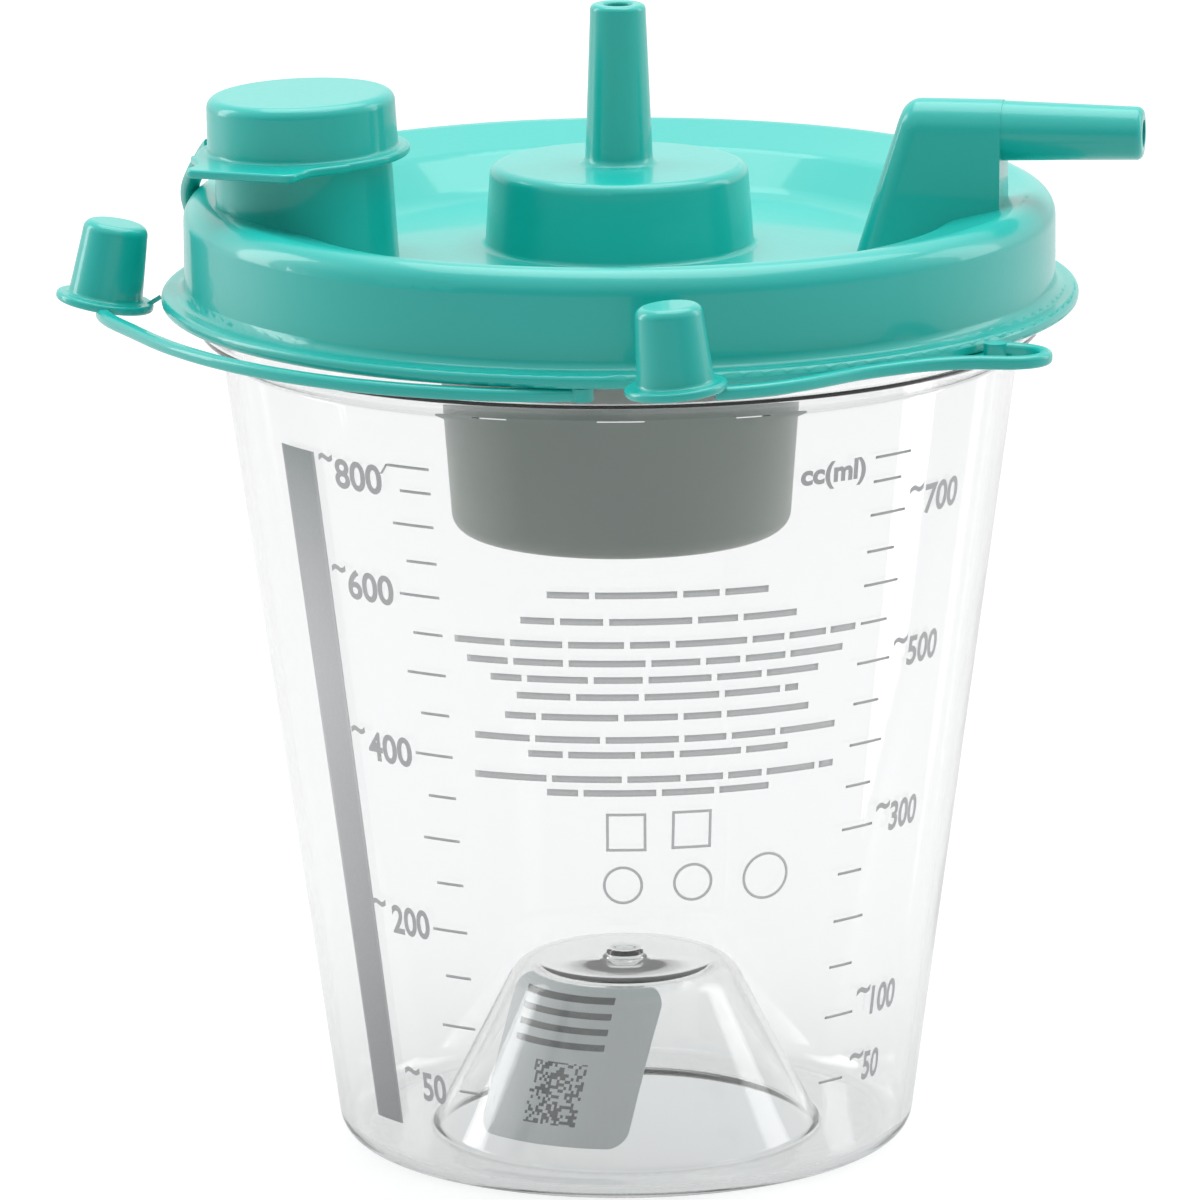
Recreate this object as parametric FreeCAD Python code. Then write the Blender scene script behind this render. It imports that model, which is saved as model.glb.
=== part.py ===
"""Suction canister: a clear tapered canister with a push-on moulded lid.

Millimetres, +Z up. The origin is the centre of the foot, on the axis of the canister. The pour
spout is on the -X side, the patient port on the +X side and the two hanging port caps are on
the left and at the front. Azimuths are degrees about +Z, counted from +X.
"""

import FreeCAD, Part
import math
import os

from FreeCAD import Vector

# Canister
canister_height = 140.2
canister_base_radius = 42.3
canister_wall = 1.4
wall_draft_deg = 7.81
base_corner_radius = 4.3
base_inner_radius = 3.0
floor_thickness = 1.5
foot_ring_width = 13.6
cone_taper = 12.9
cone_height = 26.5
cone_wall = 1.3
cone_shoulder_radius = 5.0
cone_foot_fillet = 1.2
gate_radius = 2.7
gate_height = 1.8
gate_depth = 1.2
collar_height = 20.4
collar_step = 3.3
collar_flare_height = 2.7
rim_edge_radius = 0.5

# Label inside the hollow base
label_width = 23.6
label_height = 21.1
label_thickness = 0.12
label_corner_radius = 2.5
label_azimuth = -117.5
label_lift = 3.8

# Lid shell
lid_clearance = 0.3
lid_wall = 1.65
crest_thickness = 2.3
crest_rise = 0.85
crest_radius = 3.6
deck_depth = 8.1
deck_thickness = 1.5
dish_wall_width = 8.5
dish_shoulder_inset = 14.0
dish_shoulder_drop = 2.6
dish_foot_fillet = 8.0
dish_shoulder_fillet = 5.0
flange_drop = 14.3
flange_width = 3.4
flange_thickness = 2.0
flange_edge_radius = 0.8
skirt_fillet = 1.5
plug_wall = 1.4
plug_depth = 9.7
plug_taper = 0.4
hanger_wall = 1.2
hanger_depth = 7.5

# Vacuum boss and stem, in the middle of the lid
boss_top_radius = 18.9
boss_draft = 0.85
boss_height = 12.0
boss_edge_radius = 1.6
boss_foot_fillet = 0.8
stem_root_radius = 5.0
stem_tip_radius = 4.05
stem_length = 23.6
stem_tip_edge = 0.8
stem_root_fillet = 1.2
stem_bore_root_radius = 2.9
stem_bore_tip_radius = 2.0
stem_lip_radius = 0.5
seat_ring_wall = 1.2
seat_ring_radius = 15.2
seat_ring_depth = 2.3

# Patient port, an elbow on the right
port_azimuth = -9.5
port_axis_height = 18.0
port_arch_radius = 4.55
port_side_draft_deg = 4.4
port_face_inset = 7.2
port_body_length = 21.3
port_nose_lean_deg = 17.3
port_nose_fillet = 3.2
port_wall = 1.5
port_stem_length = 20.5
port_stem_root_radius = 4.43
port_stem_tip_radius = 3.87
port_stem_tip_edge = 1.0
port_bore_root_radius = 2.7
port_bore_tip_radius = 2.0

# Pour spout on the left
spout_azimuth = 190.6
spout_inset = 17.7
spout_lean_deg = 2.0
spout_base_radius = 13.3
spout_draft_deg = 1.48
spout_height = 22.6
spout_wall = 1.5
spout_lip_radius = 0.4

# Spout cap and its strap
cap_clearance = 0.12
cap_wall = 0.9
cap_roof = 1.4
cap_seat_gap = 0.3
cap_skirt_height = 14.9
cap_edge_radius = 1.6
cap_flange_width = 1.65
cap_flange_thickness = 1.3
cap_flange_edge = 0.45
tab_azimuth = -117.4
tab_reach = 19.8
tab_width = 18.0
tab_root_width = 26.5
tab_neck_length = 5.0
tab_neck_radius = 4.0
tab_corner_radius = 1.6
cap_strap_azimuth = 150.0
cap_strap_gap = 0.5
cap_strap_width = 3.0
cap_strap_thickness = 1.5
cap_strap_edge_radius = 0.5
cap_strap_foot_azimuth = 161.4
cap_strap_foot_sink = 0.8
cap_strap_stand_off = 0.5

# Port caps and their straps
port_cap_height = 12.5
port_cap_top_radius = 4.7
port_cap_base_radius = 5.5
port_cap_edge_radius = 1.4
port_cap_wall = 1.2
port_cap_flange_radius = 7.25
port_cap_flange_thickness = 1.3
port_cap_flange_edge = 0.5
strap_width = 2.0
strap_thickness = 1.9
strap_edge_radius = 0.7
root_pad_radius = 1.7
root_gap = 0.1
left_root_azimuth = -95.0
left_root_inset = 2.5
left_strap_sweep = 80.5
left_cap_rise = 1.2
left_strap_spread = 6.3
left_strap_flick = 3.5
left_cap_gap = 1.35
left_cap_azimuth = 178.3
left_cap_lean_deg = 9.6
nib_radius = 0.35
nib_gap = 0.25
nib_drop = 0.9
front_root_azimuth = -40.5
front_root_reach = 2.8
front_ear_thickness = 1.1
front_ear_margin = 0.8
front_hairpin_reach = 12.6
front_cap_rise = 1.3
front_cap_gap = 1.8
front_cap_azimuth = -84.3
front_cap_lean_deg = 5.0

# Splash guard and filter, under the boss
guard_wall = 1.3
guard_step = 8.15
guard_depth = 40.8
guard_draft_deg = 4.2
guard_bottom_radius = 2.6
guard_fit = 0.05
guard_slots = 8
guard_slot_width = 7.0
guard_slot_height = 4.5
guard_slot_drop = 8.7
filter_thickness = 1.2
filter_clearance = 0.3
retainer_wall = 2.2
retainer_height = 5.0
retainer_fit = 0.05

# Places worked out from the sizes above
up = Vector(0, 0, 1)
wall_slope = math.tan(math.radians(wall_draft_deg))
cone_foot_radius = canister_base_radius - foot_ring_width
cone_top_radius = cone_foot_radius - cone_taper
flare_top_z = canister_height - collar_height + collar_flare_height
flare_bottom_z = canister_height - collar_height
wall_top_radius = canister_base_radius + wall_slope * flare_bottom_z
collar_radius = wall_top_radius + collar_step
channel_radius = collar_radius + lid_clearance
skirt_radius = channel_radius + lid_wall
plug_radius = collar_radius - canister_wall - lid_clearance
crest_z = canister_height + crest_thickness
deck_z = crest_z - deck_depth
deck_under_z = deck_z - deck_thickness
flange_top_z = crest_z - flange_drop
flange_bottom_z = flange_top_z - flange_thickness
flange_radius = skirt_radius + flange_width
boss_base_radius = boss_top_radius + boss_draft
port_face_radius = skirt_radius - port_face_inset
port_nose_foot = port_face_radius - port_body_length
spout_offset = skirt_radius - spout_inset
boss_top_z = deck_z + boss_height
boss_under_z = boss_top_z - deck_thickness
seat_z = boss_under_z - seat_ring_depth
stem_tip_z = boss_top_z + stem_length
guard_top_radius = boss_base_radius + guard_step
hanger_radius = guard_top_radius - guard_wall - guard_fit
left_strap_z = flange_bottom_z - root_gap - strap_thickness
front_strap_z = flange_bottom_z + root_gap
front_root_radius = flange_radius + front_root_reach
left_root_radius = flange_radius - left_root_inset


def polar(radius, azimuth, z=0.0):
    """A point at a radius and azimuth about the canister's axis."""
    angle = math.radians(azimuth)
    return Vector(radius * math.cos(angle), radius * math.sin(angle), z)


def rounded_wire(corners, to_point):
    """A closed outline of straight runs. Each corner is (a, b) or (a, b, rounding radius)."""
    count = len(corners)
    runs = []
    for i in range(count):
        before = corners[i - 1]
        here = corners[i]
        after = corners[(i + 1) % count]
        radius = here[2] if len(here) > 2 else 0.0
        if radius == 0:
            runs.append((to_point(here[0], here[1]),))
            continue
        back = Vector(before[0] - here[0], before[1] - here[1], 0).normalize()
        on = Vector(after[0] - here[0], after[1] - here[1], 0).normalize()
        half = back.getAngle(on) / 2
        reach = radius / math.tan(half)
        middle = (back + on).normalize() * (radius / math.sin(half) - radius)
        corner = Vector(here[0], here[1], 0)
        points = (corner + back * reach, corner + middle, corner + on * reach)
        runs.append(tuple(to_point(p.x, p.y) for p in points))
    edges = []
    for i in range(count):
        run = runs[i]
        if len(run) == 3:
            edges.append(Part.Arc(*run).toShape())
        start = run[-1]
        end = runs[(i + 1) % count][0]
        if start.distanceToPoint(end) > 1e-6:
            edges.append(Part.LineSegment(start, end).toShape())
    return Part.Wire(edges)


def turned(corners):
    """A solid turned about the Z axis from an outline of (radius, height, rounding)."""
    outline = rounded_wire(corners, lambda r, z: Vector(r, 0, z))
    return Part.Face(outline).revolve(Vector(0, 0, 0), up, 360)


def plate(corners, bottom, thickness):
    """A flat plate from a plan outline of (x, y, rounding)."""
    outline = rounded_wire(corners, lambda x, y: Vector(x, y, bottom))
    return Part.Face(outline).extrude(Vector(0, 0, thickness))


def edges_where(shape, test):
    """The edges whose middle point passes a test."""
    found = []
    for edge in shape.Edges:
        middle = edge.valueAt((edge.FirstParameter + edge.LastParameter) / 2)
        if test(edge, middle):
            found.append(edge)
    return found


def ribbon(centre_line, width, bottom, thickness):
    """A flat strap of even width along a smooth plan curve through the given points."""
    curve = Part.BSplineCurve()
    curve.interpolate(centre_line)
    steps = 8 * len(centre_line)
    left = []
    right = []
    for i in range(steps + 1):
        u = curve.FirstParameter + (curve.LastParameter - curve.FirstParameter) * i / steps
        point = curve.value(u)
        along = curve.tangent(u)[0]
        side = Vector(-along.y, along.x, 0).normalize() * (width / 2)
        left.append(point + side)
        right.append(point - side)
    left_curve = Part.BSplineCurve()
    left_curve.interpolate(left)
    right_curve = Part.BSplineCurve()
    right_curve.interpolate(right)
    outline = Part.Wire([
        left_curve.toShape(),
        Part.LineSegment(left[-1], right[-1]).toShape(),
        right_curve.toShape(),
        Part.LineSegment(right[0], left[0]).toShape(),
    ])
    body = Part.Face(outline).extrude(Vector(0, 0, thickness))
    body.translate(Vector(0, 0, bottom))
    return body.makeFillet(strap_edge_radius, edges_where(body, lambda e, m: e.Length > 3 * width))


def save(name, shape):
    """Write one piece as a STEP file."""
    shape.removeSplitter().exportStep("parts/%s.step" % name)


# Canister
def canister():
    """One clear moulding: tapered wall, stepped collar, rounded base and a hollow raised cone."""
    cone_slope = (cone_foot_radius - cone_top_radius) / (cone_height - floor_thickness)
    under_top_z = cone_height - cone_wall
    under_top_radius = cone_top_radius - cone_wall * (1 - cone_slope)
    under_foot_radius = under_top_radius + cone_slope * under_top_z
    inner_floor_radius = canister_base_radius - canister_wall + wall_slope * floor_thickness
    body = turned([
        (0, under_top_z),
        (under_top_radius, under_top_z, cone_shoulder_radius - cone_wall),
        (under_foot_radius, 0, cone_foot_fillet),
        (canister_base_radius, 0, base_corner_radius),
        (wall_top_radius, flare_bottom_z, 1.5),
        (collar_radius, flare_top_z, 1.5),
        (collar_radius, canister_height, rim_edge_radius),
        (collar_radius - canister_wall, canister_height, rim_edge_radius),
        (collar_radius - canister_wall, flare_top_z + 0.5, 1.0),
        (wall_top_radius - canister_wall, flare_bottom_z + 0.5, 1.0),
        (inner_floor_radius, floor_thickness, base_inner_radius),
        (cone_foot_radius, floor_thickness, cone_foot_fillet),
        (cone_top_radius, cone_height, cone_shoulder_radius),
        (0, cone_height),
    ])
    gate = turned([
        (0, under_top_z - gate_depth),
        (gate_radius, under_top_z - gate_depth, 0.6),
        (gate_radius, cone_height + gate_height, 1.6),
        (0, cone_height + gate_height),
    ])
    return body.fuse(gate)


def batch_label():
    """A thin sticker on the front of the hollow in the base, bent over the hollow's shoulder."""
    cone_slope = (cone_foot_radius - cone_top_radius) / (cone_height - floor_thickness)
    under_top_z = cone_height - cone_wall
    under_top_radius = cone_top_radius - cone_wall * (1 - cone_slope)
    inner_top_radius = under_top_radius - label_thickness * (1 - cone_slope)
    under_shoulder = cone_shoulder_radius - cone_wall
    low = label_lift - 1
    skin = turned([
        (under_top_radius + cone_slope * (under_top_z - low), low),
        (under_top_radius, under_top_z, under_shoulder),
        (cone_top_radius / 2, under_top_z),
        (cone_top_radius / 2, under_top_z - label_thickness),
        (inner_top_radius, under_top_z - label_thickness, under_shoulder - label_thickness),
        (inner_top_radius + cone_slope * (under_top_z - label_thickness - low), low),
    ])
    side = label_width / 2
    sheet = rounded_wire([
        (-side, label_lift, label_corner_radius),
        (side, label_lift, label_corner_radius),
        (side, label_lift + label_height, label_corner_radius),
        (-side, label_lift + label_height, label_corner_radius),
    ], lambda y, z: Vector(0, y, z))
    cutter = Part.Face(sheet).extrude(Vector(cone_foot_radius, 0, 0))
    cutter.rotate(Vector(0, 0, 0), up, label_azimuth)
    return skin.common(cutter)


# Lid
dish_shoulder_radius = skirt_radius - dish_shoulder_inset
dish_foot_radius = dish_shoulder_radius - dish_wall_width
dish_shoulder_z = crest_z - dish_shoulder_drop
dish_slope = (crest_z + crest_rise - dish_shoulder_z) / dish_shoulder_inset
under_shoulder_radius = dish_shoulder_radius + 0.45 * deck_thickness
under_foot_radius = dish_foot_radius + 0.25 * deck_thickness
plug_inner_radius = plug_radius - plug_wall
plug_top_z = dish_shoulder_z - deck_thickness + dish_slope * (plug_inner_radius - under_shoulder_radius)
hanger_inner_radius = hanger_radius - hanger_wall


def lid_shell():
    """Everything on the lid that is round about its axis, as one turned shell."""
    boss_slope = (boss_base_radius - boss_top_radius) / boss_height
    boss_inner_top = boss_top_radius - deck_thickness
    boss_inner_base = boss_inner_top + boss_slope * boss_height
    seat_inner = seat_ring_radius - seat_ring_wall
    return turned([
        (stem_bore_tip_radius, stem_tip_z, stem_lip_radius),
        (stem_tip_radius, stem_tip_z, stem_tip_edge),
        (stem_root_radius, boss_top_z, stem_root_fillet),
        (boss_top_radius, boss_top_z, boss_edge_radius),
        (boss_base_radius, deck_z, boss_foot_fillet),
        (dish_foot_radius, deck_z, dish_foot_fillet),
        (dish_shoulder_radius, dish_shoulder_z, dish_shoulder_fillet),
        (skirt_radius, crest_z + crest_rise, crest_radius),
        (skirt_radius, flange_top_z, skirt_fillet),
        (flange_radius, flange_top_z, flange_edge_radius),
        (flange_radius, flange_bottom_z, flange_edge_radius),
        (channel_radius, flange_bottom_z, 0.5),
        (channel_radius, canister_height),
        (plug_radius, canister_height),
        (plug_radius - plug_taper, canister_height - plug_depth, 0.5),
        (plug_inner_radius - plug_taper, canister_height - plug_depth, 0.4),
        (plug_inner_radius, plug_top_z),
        (under_shoulder_radius, dish_shoulder_z - deck_thickness, dish_shoulder_fillet - deck_thickness),
        (under_foot_radius, deck_under_z, dish_foot_fillet),
        (hanger_radius, deck_under_z),
        (hanger_radius, deck_under_z - hanger_depth, 0.4),
        (hanger_inner_radius, deck_under_z - hanger_depth, 0.4),
        (hanger_inner_radius, deck_under_z),
        (boss_inner_base, deck_under_z),
        (boss_inner_top, boss_under_z, 0.8),
        (seat_ring_radius, boss_under_z),
        (seat_ring_radius, seat_z),
        (seat_inner, seat_z),
        (seat_inner, boss_under_z),
        (stem_bore_root_radius, boss_under_z),
    ])


def space_under_dish():
    """The space below the shell's under surface, which trims the parts that stand on the dish."""
    return turned([
        (0, 0),
        (skirt_radius, 0),
        (skirt_radius, plug_top_z + 0.2),
        (plug_inner_radius, plug_top_z),
        (under_shoulder_radius, dish_shoulder_z - deck_thickness, dish_shoulder_fillet - deck_thickness),
        (under_foot_radius, deck_under_z, dish_foot_fillet),
        (0, deck_under_z),
    ])


def port_form(inset, bottom_z):
    """The drafted elbow body with an arched top and a leaning nose, shrunk inward by an inset."""
    axis_z = deck_z + port_axis_height
    draft = math.radians(port_side_draft_deg)
    arch = port_arch_radius - inset
    foot_half = arch / math.cos(draft) + (axis_z - bottom_z) * math.tan(draft)
    tangent_y = arch * math.cos(draft)
    tangent_z = axis_z + arch * math.sin(draft)
    crown = Vector(0, 0, axis_z + arch)
    foot = [Vector(0, -foot_half, bottom_z), Vector(0, foot_half, bottom_z)]
    shoulder = [Vector(0, -tangent_y, tangent_z), Vector(0, tangent_y, tangent_z)]
    section = Part.Wire([
        Part.LineSegment(foot[0], foot[1]).toShape(),
        Part.LineSegment(foot[1], shoulder[1]).toShape(),
        Part.Arc(shoulder[1], crown, shoulder[0]).toShape(),
        Part.LineSegment(shoulder[0], foot[0]).toShape(),
    ])
    prism = Part.Face(section).extrude(Vector(port_face_radius - inset, 0, 0))
    lean = math.tan(math.radians(port_nose_lean_deg))
    low = bottom_z - arch
    high = crown.z + arch
    wide = 2 * foot_half
    nose_x = port_nose_foot + inset
    side = Part.Wire(Part.makePolygon([
        Vector(nose_x + lean * (low - deck_z), -wide, low),
        Vector(port_face_radius + arch, -wide, low),
        Vector(port_face_radius + arch, -wide, high),
        Vector(nose_x + lean * (high - deck_z), -wide, high),
        Vector(nose_x + lean * (low - deck_z), -wide, low),
    ]))
    form = prism.common(Part.Face(side).extrude(Vector(0, 2 * wide, 0)))
    radius = max(port_nose_fillet - inset, 0.6)
    crown = edges_where(form, lambda e, m: m.x < crown_limit(m) and m.z > bottom_z + 0.1)
    return form.makeFillet(radius, crown)


def crown_limit(point):
    """How far out the edges of the elbow's nose reach at a point's height."""
    lean = math.tan(math.radians(port_nose_lean_deg))
    return port_nose_foot + lean * (point.z - deck_z) + 2.5


def port_stem(root_radius, tip_radius, start, end, edge):
    """A tapered round along the port's axis, from one radius out from the lid's axis to another."""
    corners = [(0, start), (root_radius, start), (tip_radius, end, edge), (0, end)]
    if edge == 0:
        corners[2] = (tip_radius, end)
    shape = turned(corners)
    shape.rotate(Vector(0, 0, 0), Vector(0, 1, 0), 90)
    shape.translate(Vector(0, 0, deck_z + port_axis_height))
    return shape


def neck_frame(shape):
    """Move a shape from the spout's own frame, foot at the origin, to its place on the lid."""
    shape.rotate(Vector(0, 0, 0), Vector(0, 1, 0), spout_lean_deg)
    shape.translate(Vector(spout_offset, 0, deck_z))
    shape.rotate(Vector(0, 0, 0), up, spout_azimuth)
    return shape


spout_slope = math.tan(math.radians(spout_draft_deg))
spout_top_radius = spout_base_radius - spout_slope * spout_height


def spout_neck():
    """The pour spout's plain drafted neck."""
    low = -3.0
    return neck_frame(turned([
        (0, low),
        (spout_base_radius - spout_slope * low, low),
        (spout_top_radius, spout_height, spout_lip_radius),
        (0, spout_height),
    ]))


def spout_bore():
    """The drafted way through the spout into the canister."""
    low = -6.0
    high = spout_height + 1
    return neck_frame(turned([
        (0, low),
        (spout_base_radius - spout_wall - spout_slope * low, low),
        (spout_base_radius - spout_wall - spout_slope * high, high),
        (0, high),
    ]))


def front_ear():
    """The small rounded ear under the flange's edge that the front cap's strap hangs from."""
    side = root_pad_radius + front_ear_margin
    reach = front_root_radius + side
    ear = plate([
        (flange_radius - 2 * front_ear_margin, -2 * side),
        (front_root_radius - front_ear_margin, -side, 2 * side),
        (reach, -side, side - root_gap),
        (reach, side, side - root_gap),
        (front_root_radius - front_ear_margin, side, 2 * side),
        (flange_radius - 2 * front_ear_margin, 2 * side),
    ], flange_bottom_z - front_ear_thickness, front_ear_thickness)
    foot = plate([
        (flange_radius - 4 * front_ear_margin, -2 * side),
        (flange_radius - front_ear_margin, -2 * side),
        (flange_radius - front_ear_margin, 2 * side),
        (flange_radius - 4 * front_ear_margin, 2 * side),
    ], flange_bottom_z - front_ear_thickness, front_ear_thickness + flange_thickness / 2)
    ear = ear.fuse(foot)
    ear.rotate(Vector(0, 0, 0), up, front_root_azimuth)
    return ear


def lid():
    """The lid: turned shell, patient port elbow, pour spout and strap roots in one moulding."""
    port_tip = port_face_radius + port_stem_length
    elbow = port_form(0, deck_under_z + 0.2)
    stem = port_stem(port_stem_root_radius, port_stem_tip_radius, port_face_radius - 1,
                     port_tip, port_stem_tip_edge)
    below = space_under_dish()
    port = elbow.fuse(stem)
    port.rotate(Vector(0, 0, 0), up, port_azimuth)
    body = lid_shell().fuse(front_ear())
    body = body.fuse(port.cut(below))
    body = body.fuse(spout_neck().cut(below))
    cavity = port_form(port_wall, deck_under_z - 1)
    bore = port_stem(port_bore_root_radius, port_bore_tip_radius, port_face_radius - 4, port_tip + 0.1, 0)
    hollow = cavity.fuse(bore)
    hollow.rotate(Vector(0, 0, 0), up, port_azimuth)
    body = body.cut(hollow).cut(spout_bore())
    return body


# Pieces under the lid
def splash_guard():
    """A closed-bottomed cup under the boss, with air slots round its top."""
    slope = math.tan(math.radians(guard_draft_deg))
    top_z = deck_under_z
    bottom_z = top_z - guard_depth
    bottom_radius = guard_top_radius - slope * guard_depth
    straight_z = top_z - hanger_depth - 0.5
    cup = turned([
        (0, bottom_z),
        (bottom_radius, bottom_z, guard_bottom_radius),
        (guard_top_radius - slope * (top_z - straight_z), straight_z),
        (guard_top_radius, top_z),
        (guard_top_radius - guard_wall, top_z),
        (guard_top_radius - guard_wall, straight_z),
        (guard_top_radius - slope * (top_z - straight_z) - guard_wall, straight_z - 1.5),
        (bottom_radius - guard_wall, bottom_z + guard_wall, guard_bottom_radius - guard_wall),
        (0, bottom_z + guard_wall),
    ])
    slot = Part.makeBox(2 * guard_top_radius, guard_slot_width, guard_slot_height,
                        Vector(0, -guard_slot_width / 2, top_z - guard_slot_drop - guard_slot_height))
    for i in range(guard_slots):
        window = slot.copy()
        window.rotate(Vector(0, 0, 0), up, 360 * i / guard_slots)
        cup = cup.cut(window)
    return cup


def filter_disc():
    """The filter that passes air and shuts when liquid wets it, seated on the ring in the boss."""
    radius = boss_top_radius - deck_thickness - filter_clearance
    return Part.makeCylinder(radius, filter_thickness, Vector(0, 0, seat_z - filter_thickness))


def filter_retainer():
    """The ring that presses the filter up against its seat."""
    radius = boss_top_radius - deck_thickness - retainer_fit
    top_z = seat_z - filter_thickness
    return turned([
        (radius, top_z),
        (radius, top_z - retainer_height, 0.6),
        (radius - retainer_wall, top_z - retainer_height, 0.6),
        (radius - retainer_wall, top_z, 0.6),
    ])


# Spout cap
cap_roof_h = spout_height + cap_seat_gap
cap_top_h = cap_roof_h + cap_roof
cap_flange_top_h = cap_skirt_height + cap_flange_thickness
cap_inner_radius = spout_base_radius - spout_slope * cap_skirt_height + cap_clearance
cap_inner_top_radius = spout_base_radius - spout_slope * cap_roof_h + cap_clearance
cap_outer_radius = cap_inner_radius + cap_wall
cap_outer_top_radius = cap_inner_top_radius + cap_wall
cap_flange_radius = cap_outer_radius + cap_flange_width


def spout_cap():
    """A push-on cap with a flange and a pull tab."""
    shell = turned([
        (0, cap_top_h),
        (cap_outer_top_radius, cap_top_h, cap_edge_radius),
        (cap_outer_radius, cap_flange_top_h, 0.5),
        (cap_flange_radius, cap_flange_top_h, cap_flange_edge),
        (cap_flange_radius, cap_skirt_height, cap_flange_edge),
        (cap_inner_radius, cap_skirt_height, 0.3),
        (cap_inner_top_radius, cap_roof_h, 0.25),
        (0, cap_roof_h),
    ])
    side = tab_width / 2
    root = tab_reach - 2 * tab_neck_length
    tab = plate([
        (root, -tab_root_width / 2),
        (tab_reach - tab_neck_length, -side, tab_neck_radius),
        (tab_reach, -side, tab_corner_radius),
        (tab_reach, side, tab_corner_radius),
        (tab_reach - tab_neck_length, side, tab_neck_radius),
        (root, tab_root_width / 2),
    ], cap_skirt_height, cap_flange_thickness)
    tab = tab.cut(Part.makeCylinder((cap_inner_radius + cap_outer_radius) / 2, cap_top_h))
    middle_z = cap_skirt_height + cap_flange_thickness / 2
    tip_edges = edges_where(tab, lambda e, m: (
        m.x > tab_reach - tab_corner_radius and abs(m.z - middle_z) > 0.4))
    tab = tab.makeFillet(cap_flange_edge, tip_edges)
    tab.rotate(Vector(0, 0, 0), up, tab_azimuth - spout_azimuth)
    return neck_frame(shell.fuse(tab))


def spout_cap_strap():
    """The band that ties the spout cap to the lid: over the rim and down onto the flange."""
    leaned = math.sin(math.radians(spout_lean_deg)) * cap_skirt_height
    cap_axis = polar(spout_offset + leaned, spout_azimuth)
    band_z = deck_z + cap_skirt_height + cap_flange_thickness / 2
    start = cap_axis + polar(cap_flange_radius + cap_strap_gap, cap_strap_azimuth, band_z)
    start_radius = math.hypot(start.x, start.y)
    start_azimuth = math.degrees(math.atan2(start.y, start.x)) % 360
    stand = skirt_radius + cap_strap_stand_off + cap_strap_thickness / 2
    foot_z = flange_top_z - cap_strap_foot_sink
    points = []
    for turn, out, down in (
        (0, 0, 0), (0.10, 0.34, 0.01), (0.25, 0.62, 0.09), (0.43, 0.80, 0.23),
        (0.69, 0.96, 0.46), (0.89, 1.0, 0.71), (1, 1, 1),
    ):
        points.append(polar(start_radius + (stand - start_radius) * out,
                            start_azimuth + (cap_strap_foot_azimuth - start_azimuth) * turn,
                            band_z + (foot_z - band_z) * down))
    curve = Part.BSplineCurve()
    curve.interpolate(points)
    across_start = curve.tangent(curve.FirstParameter)[0].cross(up).normalize()
    across_end = polar(1, cap_strap_foot_azimuth - 90)
    half_width = cap_strap_width / 2
    half_thickness = cap_strap_thickness / 2
    sections = []
    steps = 14
    for i in range(steps + 1):
        share = i / steps
        u = curve.FirstParameter + (curve.LastParameter - curve.FirstParameter) * share
        middle = curve.value(u)
        along = curve.tangent(u)[0]
        across = across_start * (1 - share) + across_end * share
        across = (across - along * across.dot(along)).normalize()
        normal = along.cross(across)
        sections.append(rounded_wire([
            (-half_width, -half_thickness, cap_strap_edge_radius),
            (half_width, -half_thickness, cap_strap_edge_radius),
            (half_width, half_thickness, cap_strap_edge_radius),
            (-half_width, half_thickness, cap_strap_edge_radius),
        ], lambda a, b: middle + across * a + normal * b))
    return Part.makeLoft(sections, True, False).cut(lid_shell())


# Port caps
def port_cap(azimuth, gap, lean_deg, bottom_z):
    """A port cap's cup and flange in place, and the solid shape of its flange for trimming."""
    cup = turned([
        (0, port_cap_height),
        (port_cap_top_radius, port_cap_height, port_cap_edge_radius),
        (port_cap_base_radius, port_cap_flange_thickness, 0.6),
        (port_cap_flange_radius, port_cap_flange_thickness, port_cap_flange_edge),
        (port_cap_flange_radius, 0, port_cap_flange_edge),
        (port_cap_base_radius - port_cap_wall, 0, 0.4),
        (port_cap_top_radius - port_cap_wall, port_cap_height - port_cap_wall, 0.4),
        (0, port_cap_height - port_cap_wall),
    ])
    core = Part.makeCylinder(port_cap_base_radius, port_cap_height, Vector(0, 0, -port_cap_height / 2))
    centre = polar(flange_radius + gap + port_cap_flange_radius, azimuth, bottom_z)
    for shape in (cup, core):
        shape.rotate(Vector(0, 0, 0), Vector(0, 1, 0), lean_deg)
        shape.translate(centre)
    return cup, core, centre


def root_pad(radius, azimuth, bottom_z):
    """The round end of a cap strap, about which the strap swings."""
    return Part.makeCylinder(root_pad_radius, strap_thickness, polar(radius, azimuth, bottom_z))


def left_port_cap():
    """The left cap, on the long strap that runs round the flange from the front."""
    under_z = left_strap_z
    line = [polar(left_root_radius, left_root_azimuth)]
    runs = 10
    for i in range(1, runs + 1):
        share = i / runs
        spread = left_strap_spread * share ** 0.85 + left_strap_flick * share ** 8
        radius = left_root_radius + strap_width / 2 + spread
        line.append(polar(radius, left_root_azimuth - left_strap_sweep * share))
    cup, core, centre = port_cap(
        left_cap_azimuth, left_cap_gap, left_cap_lean_deg, under_z + left_cap_rise)
    line.append(Vector(centre.x, centre.y - port_cap_base_radius, 0))
    strap = ribbon(line, strap_width, under_z, strap_thickness)
    nib_start = polar(flange_radius + left_cap_gap + nib_drop, left_cap_azimuth, flange_bottom_z - nib_drop)
    nib_end = polar(flange_radius + nib_gap, left_cap_azimuth, flange_bottom_z + nib_radius)
    nib = Part.makeCylinder(nib_radius, nib_start.distanceToPoint(nib_end), nib_start, nib_end - nib_start)
    pad = root_pad(left_root_radius, left_root_azimuth, under_z)
    return strap.cut(core).fuse(pad).fuse(cup).fuse(nib)


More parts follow.
